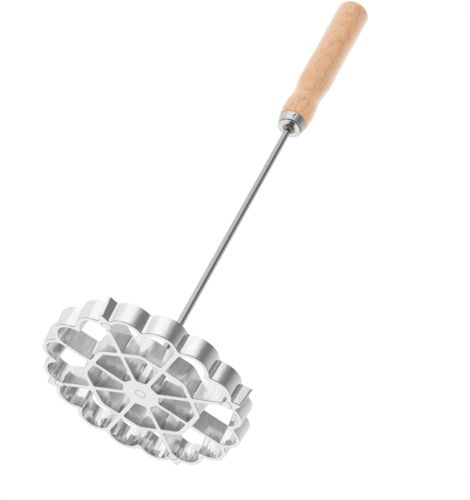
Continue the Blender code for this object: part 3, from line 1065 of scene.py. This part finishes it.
def addFerrule():
    base, top, sheet, hole = ferrule["base"], ferrule["top"], ferrule["sheet"], ferrule["hole"]
    edgeHold, lipHold = holdingRow * ferrule["edge"], holdingRow * ferrule["lip"]
    bm = bmesh.new()
    outline = roundedProfile(bm, [
        (ferrule["rimRadius"], top, ferrule["lip"]),
        (ferruleRadius(top - lipHold), top - lipHold, 0),
        (ferruleRadius(base + edgeHold), base + edgeHold, 0),
        (ferrule["endRadius"], base, ferrule["edge"]),
        (ferrule["endRadius"] - edgeHold, base, 0),
        (hole + ferrule["holeHold"], base, 0),
        (hole, base, ferrule["holeEdge"]),
        (hole, base + sheet, ferrule["holeInside"]),
        (ferruleRadius(base + sheet) - sheet, base + sheet, ferrule["innerCorner"]),
        (ferrule["rimRadius"] - sheet, top, ferrule["lip"]),
    ], ferrule["cornerSteps"])
    spinAboutZ(bm, outline, 2 * math.pi, ferrule["steps"], use_merge=True)
    finishFaces(bm.faces, 0)
    plate = nickelPlate()
    piece = addPiece("drawnFerrule", bm, [plate], "ferrule", "handle_and_rod")
    cutAway(piece, dimplePunch(plate))


addFerrule()
print("ferrule drawn")


# Handle: turned in one piece, with a spigot in the ferrule and a blind bore for the rod. Each
# station of its grip is a radius and a height, and slow waves join them.
handle = {
    "spigotBase": 0.20075,
    "spigotGap": 0.00003,
    "spigotEdge": 0.0004,
    "neck": 0.00005,
    "shoulder": 0.20605,
    "collar": 0.0079,
    "collarInset": 0.00025,
    "collarEdge": 0.00007,
    "bead": (0.0092, 0.216),
    "waist": (0.0081, 0.2272),
    "swell": (0.0095, 0.243),
    "grip": (0.0093, 0.2655),
    "end": (0.0096, 0.305),
    "top": highest("handle"),
    "bore": 0.0021,
    "boreMouth": 0.0025,
    "boreMouthDepth": 0.003,
    "boreTop": 0.2463,
    "beadSteps": 14,
    "waveSteps": 14,
    "domeSteps": 16,
    "steps": 96,
}
handleFinish = {"turned": 0, "shadedBore": 1, "sawn": 2}


def wave(start, end):
    # half a wave from one station to the next, without its last point
    (startRadius, startHeight), (endRadius, endHeight) = start, end
    stretch = []
    for step in range(handle["waveSteps"]):
        along = step / handle["waveSteps"]
        share = (1 - math.cos(math.pi * along)) / 2
        radius = startRadius + (endRadius - startRadius) * share
        stretch.append((radius, startHeight + (endHeight - startHeight) * along))
    return stretch


def spigotProfile():
    # the part inside the ferrule, and the shoulder that comes down to its lip
    wall = ferrule["sheet"] + handle["spigotGap"]
    base, edge, shoulder = handle["spigotBase"], handle["spigotEdge"], handle["shoulder"]
    inside, collar = ferrule["rimRadius"] - wall, handle["collar"]
    return [
        (handle["boreMouth"], base),
        (ferruleRadius(base) - wall - edge, base),
        (ferruleRadius(base + edge) - wall, base + edge),
        (inside, shoulder - handle["neck"]),
        (inside, shoulder),
        (collar - handle["collarInset"], shoulder),
        (collar - handle["collarEdge"], shoulder + handle["collarEdge"]),
    ]


def gripProfile():
    # the lower quarter of the bead, the waves from station to station, and the domed end; the
    # collar's edge stands for the quarter's first two points
    collar, (bead, beadHeight) = handle["collar"], handle["bead"]
    depth = beadHeight - handle["shoulder"]
    profile = []
    for step in range(2, handle["beadSteps"]):
        turn = math.pi / 2 * (1 - step / handle["beadSteps"])
        radius = collar + (bead - collar) * math.cos(turn)
        profile.append((radius, beadHeight - depth * math.sin(turn)))
    stations = [handle[name] for name in ("bead", "waist", "swell", "grip", "end")]
    for start, end in zip(stations, stations[1:]):
        profile += wave(start, end)
    radius, height = handle["end"]
    for step in range(handle["domeSteps"]):
        turn = math.pi / 2 * step / handle["domeSteps"]
        rise = (handle["top"] - height) * math.sin(turn)
        profile.append((radius * math.cos(turn), height + rise))
    return profile + [(0.0, handle["top"])]


def boreProfile():
    mouthEnd = handle["spigotBase"] + handle["boreMouthDepth"]
    return [
        (0.0, handle["boreTop"]),
        (handle["bore"], handle["boreTop"]),
        (handle["bore"], mouthEnd),
        (handle["boreMouth"], mouthEnd),
        (handle["boreMouth"], handle["spigotBase"]),
    ]


def addHandle():
    spigot, steps = spigotProfile(), handle["steps"]
    bm = bmesh.new()
    turnProfile(bm, spigot[:3], steps, handleFinish["sawn"])
    turnProfile(bm, spigot[2:] + gripProfile(), steps, handleFinish["turned"])
    turnProfile(bm, boreProfile(), steps, handleFinish["shadedBore"])
    # the bore's colour is painted shade, and the spigot's cut end is painted paler as painted light
    materials = [turnedBeech(), paintedShadeBore(), endGrainPaintedLight()]
    addPiece("turnedHandle", bm, materials, "handle", "handle_and_rod")


addHandle()
print("handle turned")
